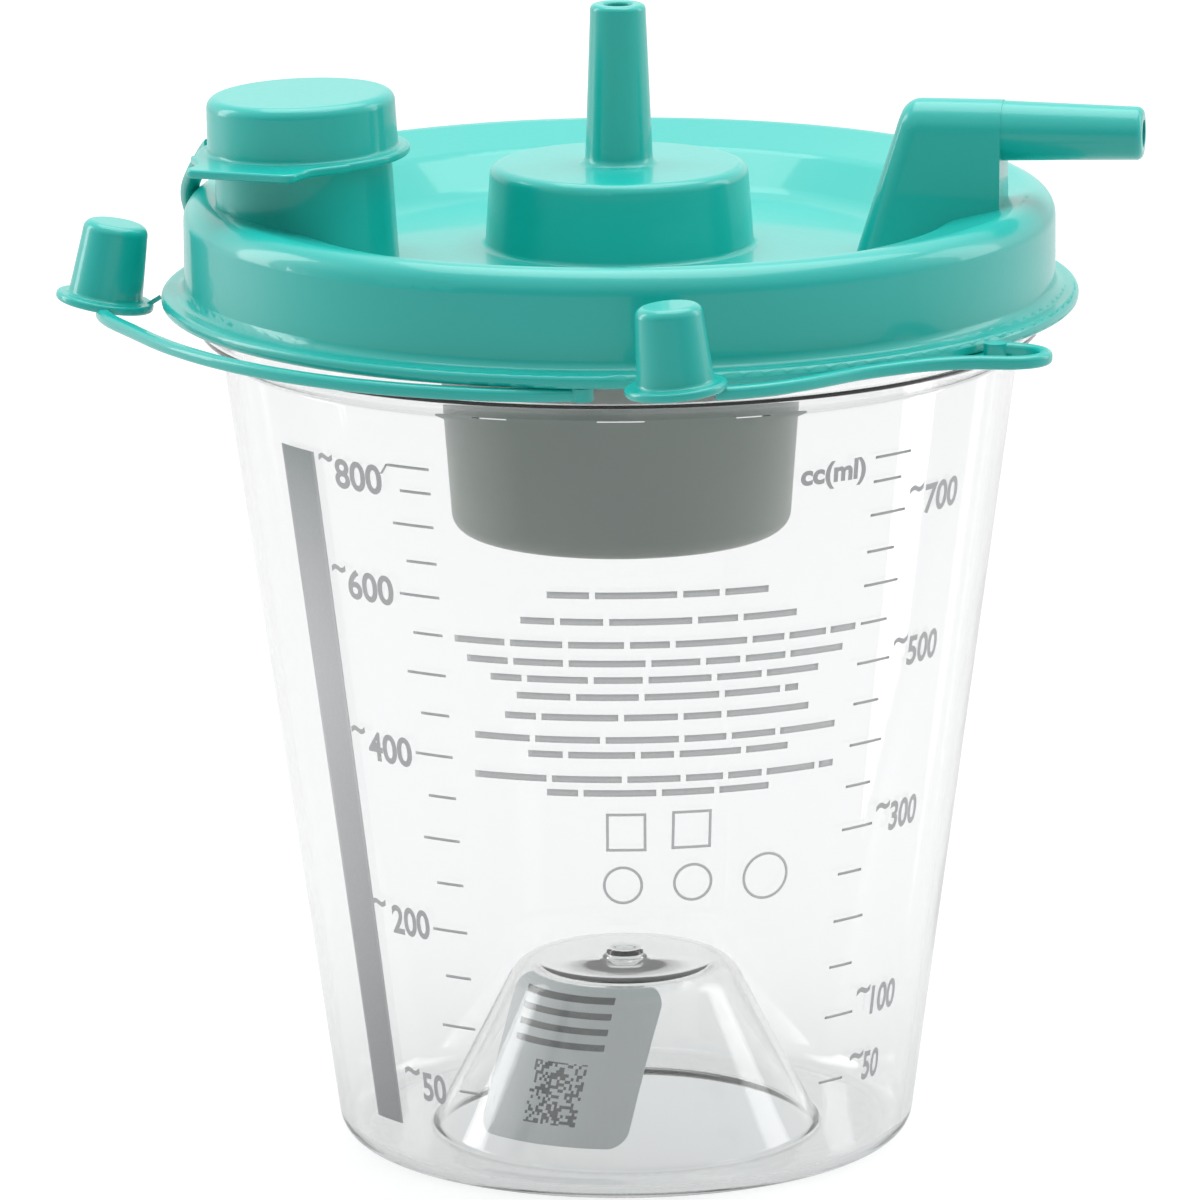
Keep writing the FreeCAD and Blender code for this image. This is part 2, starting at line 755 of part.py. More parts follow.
def front_port_cap():
    """The front cap, on a strap that runs along the flange and turns back to its root."""
    line = [polar(front_root_radius, front_root_azimuth)]
    for reach, turn in (
        (0.49, 1.5), (0.84, 0.9), (1.0, -1.1), (0.95, -3.7), (0.68, -6.1), (0.45, -8.5),
        (0.28, -12.5), (0.23, -16.5), (0.26, -21.5), (0.39, -26.0), (0.56, -31.0),
    ):
        line.append(polar(flange_radius + front_hairpin_reach * reach, front_root_azimuth + turn))
    cup, core, centre = port_cap(
        front_cap_azimuth, front_cap_gap, -front_cap_lean_deg, front_strap_z + front_cap_rise)
    line.append(Vector(centre.x, centre.y, 0) + polar(port_cap_base_radius, 8))
    strap = ribbon(line, strap_width, front_strap_z, strap_thickness)
    pad = root_pad(front_root_radius, front_root_azimuth, front_strap_z)
    return strap.cut(core).fuse(pad).fuse(cup)


os.makedirs("parts", exist_ok=True)
save("canister", canister())
save("batch_label", batch_label())
save("lid", lid())
save("splash_guard", splash_guard())
save("filter_disc", filter_disc())
save("filter_retainer", filter_retainer())
save("spout_cap", spout_cap())
save("spout_cap_strap", spout_cap_strap())
save("left_port_cap", left_port_cap())
save("front_port_cap", front_port_cap())
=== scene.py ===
import math
import random
import bmesh
import bpy
from mathutils import Matrix, Vector


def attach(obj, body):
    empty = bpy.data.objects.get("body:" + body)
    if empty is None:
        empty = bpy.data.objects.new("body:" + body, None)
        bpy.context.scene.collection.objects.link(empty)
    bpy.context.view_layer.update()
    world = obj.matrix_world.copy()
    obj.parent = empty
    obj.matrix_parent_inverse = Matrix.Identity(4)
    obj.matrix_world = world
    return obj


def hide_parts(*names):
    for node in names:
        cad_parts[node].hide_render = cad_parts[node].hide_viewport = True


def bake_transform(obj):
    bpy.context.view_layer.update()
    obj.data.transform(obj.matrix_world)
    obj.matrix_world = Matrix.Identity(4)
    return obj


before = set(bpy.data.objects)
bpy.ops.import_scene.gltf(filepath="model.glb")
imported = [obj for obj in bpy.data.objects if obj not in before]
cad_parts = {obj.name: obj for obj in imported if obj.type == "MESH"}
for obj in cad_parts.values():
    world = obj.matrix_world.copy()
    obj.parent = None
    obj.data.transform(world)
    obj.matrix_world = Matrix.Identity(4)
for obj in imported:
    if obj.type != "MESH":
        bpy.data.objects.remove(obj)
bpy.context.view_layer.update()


# The studio: a wide pale floor under soft boxes and an even white sky, and a long lens at the
# height that shows the lid's dish. The floor and sky look white to the camera and in
# reflections, and the floor still takes the canister's shadow.
scene = bpy.context.scene
scene.view_settings.view_transform = "Standard"


def seen_directly(nodes, links):
    """1 for rays that see a surface from the camera, in a reflection or through the clear wall."""
    path = nodes.new("ShaderNodeLightPath")
    glossy = nodes.new("ShaderNodeMath")
    glossy.operation = "MAXIMUM"
    links.new(path.outputs["Is Camera Ray"], glossy.inputs[0])
    links.new(path.outputs["Is Glossy Ray"], glossy.inputs[1])
    clear = nodes.new("ShaderNodeMath")
    clear.operation = "MAXIMUM"
    links.new(glossy.outputs[0], clear.inputs[0])
    links.new(path.outputs["Is Transmission Ray"], clear.inputs[1])
    return clear.outputs[0]


world = bpy.data.worlds.new("studio_sky")
scene.world = world
world.use_nodes = True
sky = world.node_tree
sky.nodes.clear()
sky_place = sky.nodes.new("ShaderNodeTexCoord")


def sky_ramp(toward, low, high, dim, bright):
    """A grey that goes from dim to bright as a ray's direction turns toward a given way."""
    along = sky.nodes.new("ShaderNodeVectorMath")
    along.operation = "DOT_PRODUCT"
    along.inputs[1].default_value = toward
    sky.links.new(sky_place.outputs["Generated"], along.inputs[0])
    ramp = sky.nodes.new("ShaderNodeMapRange")
    ramp.interpolation_type = "SMOOTHSTEP"
    ramp.inputs["From Min"].default_value = low
    ramp.inputs["From Max"].default_value = high
    ramp.inputs["To Min"].default_value = dim
    ramp.inputs["To Max"].default_value = bright
    sky.links.new(along.outputs["Value"], ramp.inputs["Value"])
    return ramp.outputs["Result"]


sky_light = sky.nodes.new("ShaderNodeBackground")
sky_light.inputs["Color"].default_value = (0.97, 0.98, 1.0, 1)
sky.links.new(sky_ramp((0, 0.15, 1), -0.05, 0.9, 0.16, 1.0), sky_light.inputs["Strength"])
sky_seen = sky.nodes.new("ShaderNodeBackground")
sky_seen.inputs["Color"].default_value = (1, 1, 1, 1)
sky_path = sky.nodes.new("ShaderNodeLightPath")
seen_grey = sky.nodes.new("ShaderNodeMath")
seen_grey.operation = "MAXIMUM"
sky.links.new(sky_ramp((0, 0.6, 1), -0.5, 0.3, 0.35, 1.0), seen_grey.inputs[0])
sky.links.new(sky_path.outputs["Is Camera Ray"], seen_grey.inputs[1])
sky.links.new(seen_grey.outputs[0], sky_seen.inputs["Strength"])
sky_mix = sky.nodes.new("ShaderNodeMixShader")
sky_out = sky.nodes.new("ShaderNodeOutputWorld")
sky.links.new(seen_directly(sky.nodes, sky.links), sky_mix.inputs["Fac"])
sky.links.new(sky_light.outputs[0], sky_mix.inputs[1])
sky.links.new(sky_seen.outputs[0], sky_mix.inputs[2])
sky.links.new(sky_mix.outputs[0], sky_out.inputs["Surface"])

floor_half = 6.0
floor_corners = [(-floor_half, -floor_half, 0), (floor_half, -floor_half, 0),
                 (floor_half, floor_half, 0), (-floor_half, floor_half, 0)]
floor_mesh = bpy.data.meshes.new("floor")
floor_mesh.from_pydata(floor_corners, [], [(0, 1, 2, 3)])
floor = bpy.data.objects.new("floor", floor_mesh)
scene.collection.objects.link(floor)
paper = bpy.data.materials.new("floor_paper")
paper.use_nodes = True
tree = paper.node_tree
tree.nodes.clear()
paper_plain = tree.nodes.new("ShaderNodeBsdfDiffuse")
paper_plain.inputs["Color"].default_value = (0.60, 0.60, 0.60, 1)
paper_shade = tree.nodes.new("ShaderNodeBsdfDiffuse")
paper_shade.inputs["Color"].default_value = (0.40, 0.40, 0.40, 1)
paper_glow = tree.nodes.new("ShaderNodeEmission")
glow_path = tree.nodes.new("ShaderNodeLightPath")
glow_strength = tree.nodes.new("ShaderNodeMapRange")
glow_strength.inputs["To Min"].default_value = 0.50
glow_strength.inputs["To Max"].default_value = 0.70
tree.links.new(glow_path.outputs["Is Camera Ray"], glow_strength.inputs["Value"])
tree.links.new(glow_strength.outputs["Result"], paper_glow.inputs["Strength"])
paper_seen = tree.nodes.new("ShaderNodeAddShader")
tree.links.new(paper_shade.outputs[0], paper_seen.inputs[0])
tree.links.new(paper_glow.outputs[0], paper_seen.inputs[1])
paper_mix = tree.nodes.new("ShaderNodeMixShader")
paper_out = tree.nodes.new("ShaderNodeOutputMaterial")
tree.links.new(seen_directly(tree.nodes, tree.links), paper_mix.inputs["Fac"])
tree.links.new(paper_plain.outputs[0], paper_mix.inputs[1])
tree.links.new(paper_seen.outputs[0], paper_mix.inputs[2])
tree.links.new(paper_mix.outputs[0], paper_out.inputs["Surface"])
floor_mesh.materials.append(paper)


def soft_box(name, place, target, width, height, watts):
    """A rectangular lamp at a place, aimed at a target."""
    lamp = bpy.data.lights.new(name, "AREA")
    lamp.shape = "RECTANGLE"
    lamp.size = width
    lamp.size_y = height
    lamp.energy = watts
    stand = bpy.data.objects.new(name, lamp)
    stand.location = place
    stand.rotation_euler = (Vector(target) - Vector(place)).to_track_quat("-Z", "Y").to_euler()
    scene.collection.objects.link(stand)


canister_middle = (0, 0, 0.1)
soft_box("soft_box_top", (0.1, 0.25, 1.3), canister_middle, 1.3, 1.1, 12)
soft_box("soft_box_left", (-1.15, 0.40, 0.50), canister_middle, 0.35, 1.0, 5)
soft_box("soft_box_right", (1.15, 0.35, 0.55), canister_middle, 0.4, 0.9, 3)

camera_data = bpy.data.cameras.new("camera")
camera_data.sensor_width = 36
camera_data.lens = 304.05
camera_data.clip_end = 30
camera = bpy.data.objects.new("camera", camera_data)
camera_place = (-0.003315, -1.46270, 0.41315)
camera_pitch = math.radians(90) - 0.22350
camera_roll = -0.0083146
camera.matrix_world = (Matrix.Translation(camera_place)
                       @ Matrix.Rotation(camera_pitch, 4, "X")
                       @ Matrix.Rotation(camera_roll, 4, "Z"))
scene.collection.objects.link(camera)
scene.camera = camera


# The canister: one clear polystyrene moulding, polished inside and out. Its wall tapers, steps
# out to the collar under the lid, and its foot rises inside as a hollow cone with the gate mark
# at its top. It is injection moulded, so the wall is even and every edge is rounded.
MM = 0.001
ON_AXIS = 0.001


def rounded_line(corners, steps=7):
    """A closed line through (radius, height, rounding) corners in mm, with arcs where it rounds."""
    line = []
    for i, here in enumerate(corners):
        if len(here) < 3:
            line.append((here[0], here[1]))
            continue
        before = Vector(corners[i - 1][:2])
        after = Vector(corners[(i + 1) % len(corners)][:2])
        corner = Vector(here[:2])
        back = (before - corner).normalized()
        on = (after - corner).normalized()
        half = back.angle(on) / 2
        centre = corner + (back + on).normalized() * here[2] / math.sin(half)
        start = corner + back * here[2] / math.tan(half) - centre
        end = corner + on * here[2] / math.tan(half) - centre
        turn = start.angle_signed(end)
        for k in range(steps + 1):
            swing = -turn * k / steps
            line.append((centre.x + start.x * math.cos(swing) - start.y * math.sin(swing),
                         centre.y + start.x * math.sin(swing) + start.y * math.cos(swing)))
    return line


def turned_piece(name, line, segments=256):
    """A closed solid turned about +Z from a closed line of (radius, height) in mm."""
    mesh = bmesh.new()
    rings = []
    for radius, height in line:
        if radius < ON_AXIS:
            rings.append([mesh.verts.new((0, 0, height * MM))])
            continue
        ring = []
        for i in range(segments):
            angle = 2 * math.pi * i / segments
            ring.append(mesh.verts.new((radius * math.cos(angle) * MM,
                                        radius * math.sin(angle) * MM, height * MM)))
        rings.append(ring)
    for k in range(len(rings)):
        low = rings[k]
        high = rings[(k + 1) % len(rings)]
        if len(low) == 1 and len(high) == 1:
            continue
        for i in range(segments):
            j = (i + 1) % segments
            if len(low) == 1:
                mesh.faces.new((low[0], high[j], high[i]))
            elif len(high) == 1:
                mesh.faces.new((low[i], low[j], high[0]))
            else:
                mesh.faces.new((low[i], low[j], high[j], high[i]))
    bmesh.ops.recalc_face_normals(mesh, faces=mesh.faces)
    return finished_piece(name, mesh)


def finished_piece(name, mesh, sharp_deg=40):
    """Make an object of a bmesh, smooth apart from edges sharper than an angle."""
    for face in mesh.faces:
        face.smooth = True
    for edge in mesh.edges:
        if len(edge.link_faces) == 2 and edge.calc_face_angle() > math.radians(sharp_deg):
            edge.smooth = False
    data = bpy.data.meshes.new(name)
    mesh.to_mesh(data)
    mesh.free()
    piece = bpy.data.objects.new(name, data)
    scene.collection.objects.link(piece)
    return piece


WALL_FOOT_RADIUS = 42.3
WALL_SLOPE = math.tan(math.radians(7.81))
WALL = 1.4
STEP_Z = 119.8
COLLAR_STEP = 3.3
COLLAR_Z = 122.5
RIM_Z = 140.2
CONE_FOOT = 28.7
CONE_TOP = 15.8
CONE_HEIGHT = 26.5
CONE_WALL = 1.3
FLOOR = 1.5
GATE_DIMPLE = 1.2
GATE_RISE = 1.6
wall_top = WALL_FOOT_RADIUS + WALL_SLOPE * STEP_Z
collar_radius = wall_top + COLLAR_STEP
cone_slope = (CONE_FOOT - CONE_TOP) / (CONE_HEIGHT - FLOOR)
under_top = CONE_TOP - CONE_WALL * (1 - cone_slope)
canister = turned_piece("canister_wall", rounded_line([
    (0, CONE_HEIGHT - CONE_WALL - GATE_DIMPLE),
    (2.7, CONE_HEIGHT - CONE_WALL - GATE_DIMPLE, 0.6),
    (2.75, CONE_HEIGHT - CONE_WALL, 0.4),
    (under_top, CONE_HEIGHT - CONE_WALL, 3.7),
    (under_top + cone_slope * (CONE_HEIGHT - CONE_WALL), 0, 1.2),
    (WALL_FOOT_RADIUS, 0, 4.3),
    (wall_top, STEP_Z, 1.5),
    (collar_radius, COLLAR_Z, 1.5),
    (collar_radius, RIM_Z, 0.5),
    (collar_radius - WALL, RIM_Z, 0.5),
    (collar_radius - WALL, COLLAR_Z + 0.5, 1.0),
    (wall_top - WALL, STEP_Z + 0.5, 1.0),
    (WALL_FOOT_RADIUS - WALL + WALL_SLOPE * FLOOR, FLOOR, 3.0),
    (CONE_FOOT, FLOOR, 1.2),
    (CONE_TOP, CONE_HEIGHT, 5.0),
    (2.9, CONE_HEIGHT, 0.9),
    (2.5, CONE_HEIGHT + GATE_RISE, 1.2),
    (0, CONE_HEIGHT + GATE_RISE),
]))
clear_plastic = bpy.data.materials.new("clear_polystyrene")
clear_plastic.use_nodes = True
tree = clear_plastic.node_tree
tree.nodes.clear()
clear = tree.nodes.new("ShaderNodeBsdfPrincipled")
clear.inputs["Base Color"].default_value = (0.984, 0.985, 0.985, 1)
clear.inputs["Transmission Weight"].default_value = 1.0
clear.inputs["IOR"].default_value = 1.46
clear.inputs["Roughness"].default_value = 0.02
flow = tree.nodes.new("ShaderNodeTexNoise")
flow.inputs["Scale"].default_value = 45
flow.inputs["Detail"].default_value = 1.5
coordinates = tree.nodes.new("ShaderNodeTexCoord")
tree.links.new(coordinates.outputs["Object"], flow.inputs["Vector"])
ripple = tree.nodes.new("ShaderNodeBump")
ripple.inputs["Strength"].default_value = 0.02
ripple.inputs["Distance"].default_value = 0.001
tree.links.new(flow.outputs["Fac"], ripple.inputs["Height"])
tree.links.new(ripple.outputs["Normal"], clear.inputs["Normal"])
passing = tree.nodes.new("ShaderNodeBsdfTransparent")
passing.inputs["Color"].default_value = (0.95, 0.96, 0.96, 1)
path = tree.nodes.new("ShaderNodeLightPath")
lets_light_by = tree.nodes.new("ShaderNodeMath")
lets_light_by.operation = "MAXIMUM"
tree.links.new(path.outputs["Is Shadow Ray"], lets_light_by.inputs[0])
tree.links.new(path.outputs["Is Diffuse Ray"], lets_light_by.inputs[1])
clear_mix = tree.nodes.new("ShaderNodeMixShader")
clear_out = tree.nodes.new("ShaderNodeOutputMaterial")
tree.links.new(lets_light_by.outputs[0], clear_mix.inputs["Fac"])
tree.links.new(clear.outputs[0], clear_mix.inputs[1])
tree.links.new(passing.outputs[0], clear_mix.inputs[2])
tree.links.new(clear_mix.outputs[0], clear_out.inputs["Surface"])
depth = tree.nodes.new("ShaderNodeVolumeAbsorption")
depth.inputs["Color"].default_value = (0.10, 0.11, 0.11, 1)
depth.inputs["Density"].default_value = 35
tree.links.new(depth.outputs[0], clear_out.inputs["Volume"])
canister.data.materials.append(clear_plastic)
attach(canister, "canister")
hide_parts("canister")


# The printed scale: grey ink screened onto the outside of the wall. A broad bar runs down the
# left, and sixteen lines on each side mark every 50 ml, with plain numbers beside them. The
# steps grow towards the foot, where the tapering wall is narrower.
INK_LIFT = 0.06
INK_THICK = 0.05
PATCH_STEP_DEG = 0.8
FIGURE_SHARE = 0.72
INK_SPREAD = 0.16
STRIP_WIDTH = 1.0


def on_wall(azimuth_deg, height, lift):
    """A point on the canister's outer wall in metres, lifted off it by so many mm."""
    angle = math.radians(azimuth_deg)
    radius = WALL_FOOT_RADIUS + WALL_SLOPE * height + lift
    return Vector((radius * math.cos(angle) * MM, radius * math.sin(angle) * MM, height * MM))


def print_patch(mesh, azimuths, heights):
    """One patch of ink between two slanted sides: (bottom, top) azimuths left and right."""
    (left_low, left_high), (right_low, right_high) = azimuths
    across = max(2, int(abs(right_low - left_low) / PATCH_STEP_DEG))
    grid = []
    for lift in (INK_LIFT, INK_LIFT - INK_THICK):
        rows = []
        for share, height in ((0, heights[0]), (1, heights[1])):
            left = left_low + (left_high - left_low) * share
            right = right_low + (right_high - right_low) * share
            row = []
            for i in range(across + 1):
                row.append(mesh.verts.new(on_wall(left + (right - left) * i / across, height, lift)))
            rows.append(row)
        grid.append(rows)
    for i in range(across):
        front, back = grid
        mesh.faces.new((front[0][i], front[0][i + 1], front[1][i + 1], front[1][i]))
        mesh.faces.new((back[0][i + 1], back[0][i], back[1][i], back[1][i + 1]))
        mesh.faces.new((back[0][i], back[0][i + 1], front[0][i + 1], front[0][i]))
        mesh.faces.new((front[1][i], front[1][i + 1], back[1][i + 1], back[1][i]))
    for end in (0, across):
        mesh.faces.new((grid[0][0][end], grid[0][1][end], grid[1][1][end], grid[1][0][end]))


def print_words(mesh, words, azimuth, height, tall, squeeze, anchor="LEFT"):
    """Numbers or a unit printed on the wall, cut into narrow strips so that they bend round it."""
    text = bpy.data.curves.new("ink_words", "FONT")
    text.body = words
    text.size = tall / FIGURE_SHARE
    text.offset = INK_SPREAD
    text.align_x = anchor
    text.align_y = "CENTER"
    holder = bpy.data.objects.new("ink_words", text)
    flat = bpy.data.meshes.new_from_object(holder)
    bpy.data.objects.remove(holder)
    strips = bmesh.new()
    strips.from_mesh(flat)
    bpy.data.meshes.remove(flat)
    low = min(v.co.x for v in strips.verts)
    high = max(v.co.x for v in strips.verts)
    cut = low + STRIP_WIDTH
    while cut < high:
        bmesh.ops.bisect_plane(strips, geom=strips.verts[:] + strips.edges[:] + strips.faces[:],
                               plane_co=(cut, 0, 0), plane_no=(1, 0, 0))
        cut += STRIP_WIDTH
    places = {}
    for vert in strips.verts:
        z = height + vert.co.y
        radius = WALL_FOOT_RADIUS + WALL_SLOPE * z
        turn = math.degrees(vert.co.x * squeeze / radius)
        places[vert] = mesh.verts.new(on_wall(azimuth + turn, z, INK_LIFT))
    for face in strips.faces:
        mesh.faces.new([places[v] for v in face.verts])
    strips.free()


ink = bmesh.new()
print_patch(ink, ((-147.15, -148.5), (-139.0, -140.35)), (8.6, 111.2))
marks = {800: 111.4, 750: 107.75, 700: 102.7, 650: 97.2, 600: 92.1, 550: 86.4, 500: 80.3,
         450: 74.2, 400: 67.9, 350: 61.6, 300: 55.0, 250: 48.2, 200: 40.9, 150: 33.8,
         100: 26.0, 50: 15.9}
line_half = 0.2
left_line_end = -118.6
right_line_start = -50.9
for volume, height in marks.items():
    whole_hundred = volume % 100 == 0
    left_start = -125.6 if whole_hundred else -123.8
    right_end = -43.95 if whole_hundred else -45.5
    if volume == 50:
        left_start = -123.2
        right_end = -44.9
    line_heights = (height - line_half, height + line_half)
    print_patch(ink, ((left_start, left_start), (left_line_end, left_line_end)), line_heights)
    print_patch(ink, ((right_line_start, right_line_start), (right_end, right_end)), line_heights)
print_patch(ink, ((-127.1, -125.9), (-126.7, -125.5)), (109.9, 111.5))
number_height = 4.3
wave_height = number_height * 0.9
wave_rise = 2.4
wave_squeeze = 0.95
left_numbers = (("800", 108.6, -126.9, 1.02), ("600", 91.9, -126.8, 1.0),
                ("400", 67.4, -126.4, 0.93), ("200", 40.9, -126.35, 0.81),
                ("50", 15.3, -126.35, 0.76))
right_numbers = (("700", 103.1, -39.7, 0.97), ("500", 80.2, -39.8, 0.87),
                 ("300", 55.0, -39.7, 0.8), ("100", 26.6, -39.9, 0.8),
                 ("50", 16.4, -39.3, 0.68))
for words, height, azimuth, squeeze in left_numbers:
    wave_azimuth = -136.3 if len(words) == 3 else -132.6
    print_words(ink, words, azimuth, height, number_height, squeeze, "RIGHT")
    print_words(ink, "~", wave_azimuth, height + wave_rise, wave_height, wave_squeeze, "RIGHT")
for words, height, azimuth, squeeze in right_numbers:
    print_words(ink, words, azimuth, height, number_height, squeeze)
    print_words(ink, "~", -43.2, height + wave_rise, wave_height, wave_squeeze)
print_words(ink, "cc(ml)", -63.7, 110.1, 3.0, 1.07)
scale_print = finished_piece("printed_scale", ink)
grey_ink = bpy.data.materials.new("grey_ink")
grey_ink.use_nodes = True
tree = grey_ink.node_tree
ink_shader = tree.nodes["Principled BSDF"]
ink_shader.inputs["Roughness"].default_value = 0.55
speckle = tree.nodes.new("ShaderNodeTexNoise")
speckle.inputs["Scale"].default_value = 2500
ink_colour = tree.nodes.new("ShaderNodeValToRGB")
ink_colour.color_ramp.elements[0].color = (0.50, 0.50, 0.505, 1)
ink_colour.color_ramp.elements[1].color = (0.58, 0.58, 0.585, 1)
coordinates = tree.nodes.new("ShaderNodeTexCoord")
tree.links.new(coordinates.outputs["Object"], speckle.inputs["Vector"])
tree.links.new(speckle.outputs["Fac"], ink_colour.inputs["Fac"])
tree.links.new(ink_colour.outputs["Color"], ink_shader.inputs["Base Color"])
scale_print.data.materials.append(grey_ink)
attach(scale_print, "canister")


# The paler ink: rows of plain bars, two outlined squares and three circles between the two
# scales, screened onto the outside of the wall in the same pass as the numbers.
RING_STEPS = 48
BAR_SHORTEST = 4.5
BAR_LONGEST = 12.5
BAR_STUB = 3.0
BAR_GAP = 0.9
BAR_HALF = 0.5
OUTLINE = 0.4


def print_ring(mesh, azimuth, height, radius, line, square):
    """An outlined circle or square on the wall."""
    rings = []
    ink_back = INK_LIFT - INK_THICK
    for lift, reach in ((INK_LIFT, radius), (INK_LIFT, radius - line),
                        (ink_back, radius - line), (ink_back, radius)):
        ring = []
        for i in range(RING_STEPS):
            angle = 2 * math.pi * i / RING_STEPS
            stretch = 1 / max(abs(math.cos(angle)), abs(math.sin(angle))) if square else 1
            x = reach * stretch * math.cos(angle)
            z = height + reach * stretch * math.sin(angle)
            turn = math.degrees(x / (WALL_FOOT_RADIUS + WALL_SLOPE * z))
            ring.append(mesh.verts.new(on_wall(azimuth + turn, z, lift)))
        rings.append(ring)
    for near, far in zip(rings, rings[1:] + rings[:1]):
        for i in range(RING_STEPS):
            j = (i + 1) % RING_STEPS
            mesh.faces.new((near[i], near[j], far[j], far[i]))


chance = random.Random(8)
pale_rows = bmesh.new()
row_spans = ((-101.4, -67.9, 93.8), (-105.6, -63.0, 89.8), (-116.5, -52.0, 86.3),
             (-114.6, -54.2, 83.5), (-110.9, -58.5, 81.0), (-106.8, -61.9, 78.4),
             (-108.9, -59.8, 75.3), (-114.2, -54.5, 71.9), (-105.4, -63.1, 69.6),
             (-114.7, -54.2, 65.9), (-102.6, -66.1, 63.8))
for left, right, height in row_spans:
    start = left
    while start < right:
        end = min(start + chance.uniform(BAR_SHORTEST, BAR_LONGEST), right)
        if right - end < BAR_STUB:
            end = right
        print_patch(pale_rows, ((start, start), (end, end)), (height - BAR_HALF, height + BAR_HALF))
        start = end + BAR_GAP
outlines = ((-89.8, 57.8, 2.9, True), (-79.0, 58.0, 2.9, True), (-90.4, 49.7, 2.9, False),
            (-78.6, 49.9, 2.9, False), (-65.7, 49.9, 3.6, False))
for azimuth, height, radius, square in outlines:
    print_ring(pale_rows, azimuth, height, radius, OUTLINE, square)
row_print = finished_piece("printed_rows", pale_rows)
pale_ink = grey_ink.copy()
pale_ink.name = "pale_ink"
pale_ramp = next(node for node in pale_ink.node_tree.nodes if node.type == "VALTORGB").color_ramp
for element, shade in zip(pale_ramp.elements, (0.66, 0.74)):
    element.color = (shade, shade, shade, 1)
row_print.data.materials.append(pale_ink)
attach(row_print, "canister")


# The lid: one teal polyethylene moulding with a thin gloss over a hazy body. Its skirt and
# flange stand round the collar, and the boss with its vacuum stem, the patient port and the
# spout rise from its dished deck.
GRAIN_SCALE = 900
GRAIN_GLOSS = 0.03


def moulded_plastic(name, pale, deep, roughness):
    """Moulded plastic: slight shade differences from flow, and a fine even grain in its gloss."""
    material = bpy.data.materials.new(name)
    material.use_nodes = True
    tree = material.node_tree
    shader = tree.nodes["Principled BSDF"]
    shader.inputs["IOR"].default_value = 1.5
    coordinates = tree.nodes.new("ShaderNodeTexCoord")
    flow = tree.nodes.new("ShaderNodeTexNoise")
    flow.inputs["Scale"].default_value = 22
    flow.inputs["Detail"].default_value = 2
    shade = tree.nodes.new("ShaderNodeValToRGB")
    shade.color_ramp.elements[0].position = 0.3
    shade.color_ramp.elements[0].color = (*deep, 1)
    shade.color_ramp.elements[1].position = 0.7
    shade.color_ramp.elements[1].color = (*pale, 1)
    grain = tree.nodes.new("ShaderNodeTexNoise")
    grain.inputs["Scale"].default_value = GRAIN_SCALE
    grain.inputs["Detail"].default_value = 3
    gloss = tree.nodes.new("ShaderNodeMapRange")
    gloss.inputs["To Min"].default_value = roughness - GRAIN_GLOSS
    gloss.inputs["To Max"].default_value = roughness + GRAIN_GLOSS
    bump = tree.nodes.new("ShaderNodeBump")
    bump.inputs["Strength"].default_value = 0.04
    bump.inputs["Distance"].default_value = 0.0003
    for texture in (flow, grain):
        tree.links.new(coordinates.outputs["Object"], texture.inputs["Vector"])
    tree.links.new(flow.outputs["Fac"], shade.inputs["Fac"])
    tree.links.new(shade.outputs["Color"], shader.inputs["Base Color"])
    tree.links.new(grain.outputs["Fac"], gloss.inputs["Value"])
    tree.links.new(gloss.outputs["Result"], shader.inputs["Roughness"])
    tree.links.new(grain.outputs["Fac"], bump.inputs["Height"])
    tree.links.new(bump.outputs["Normal"], shader.inputs["Normal"])
    return material


def refinish(node, material):
    """Give a CAD piece its finish."""
    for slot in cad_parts[node].material_slots:
        slot.material = material


teal_plastic = moulded_plastic("teal_polyethylene",
                               (0.004, 0.50, 0.44), (0.003, 0.47, 0.412), 0.36)
teal_shader = teal_plastic.node_tree.nodes["Principled BSDF"]
teal_shader.inputs["Coat Weight"].default_value = 0.45
teal_shader.inputs["Coat Roughness"].default_value = 0.06
refinish("lid", teal_plastic)


# The spout cap pushes over the neck, and its pull tab, flange and tether are moulded with it in
# the same teal polyethylene. The tether is a thin flat band, drawn in one fixed curve.
# The two port caps hang on their own thin straps from the lid's flange.
for node in ("spout_cap", "left_port_cap", "front_port_cap"):
    refinish(node, teal_plastic)


def polar(radius, azimuth_deg, height=0.0):
    """A point at a radius and azimuth about the canister's axis, in mm."""
    angle = math.radians(azimuth_deg)
    return Vector((radius * math.cos(angle), radius * math.sin(angle), height))


TETHER_WIDTH = 3.0
TETHER_THICK = 1.5
TETHER_EDGE = 0.5
EDGE_STEPS = 3
tether_start = polar(46.8, 190.6) + polar(15.3, 150, 149.95)
start_radius = tether_start.xy.length
start_azimuth = math.degrees(math.atan2(tether_start.y, tether_start.x)) % 360
foot_radius = 65.23
foot_azimuth = 161.4
foot_height = 128.0
tether_line = bpy.data.curves.new("tether_line", "CURVE")
tether_line.dimensions = "3D"
tether_line.resolution_u = 8
run = tether_line.splines.new("BEZIER")
stops = ((0, 0, 0), (0.10, 0.10, 0.04), (0.25, 0.30, 0.13), (0.43, 0.62, 0.27),
         (0.60, 0.89, 0.42), (0.75, 0.98, 0.58), (1, 1, 1))
run.bezier_points.add(len(stops) - 1)
for point, (turned, out, down) in zip(run.bezier_points, stops):
    point.co = polar(start_radius + (foot_radius - start_radius) * out,
                     start_azimuth + (foot_azimuth - start_azimuth) * turned,
                     tether_start.z + (foot_height - tether_start.z) * down)
    point.handle_left_type = "AUTO"
    point.handle_right_type = "AUTO"
line_holder = bpy.data.objects.new("tether_line", tether_line)
line_mesh = bpy.data.meshes.new_from_object(line_holder)
middles = [v.co.copy() for v in line_mesh.vertices]
bpy.data.objects.remove(line_holder)
bpy.data.meshes.remove(line_mesh)
corner_x = TETHER_WIDTH / 2 - TETHER_EDGE
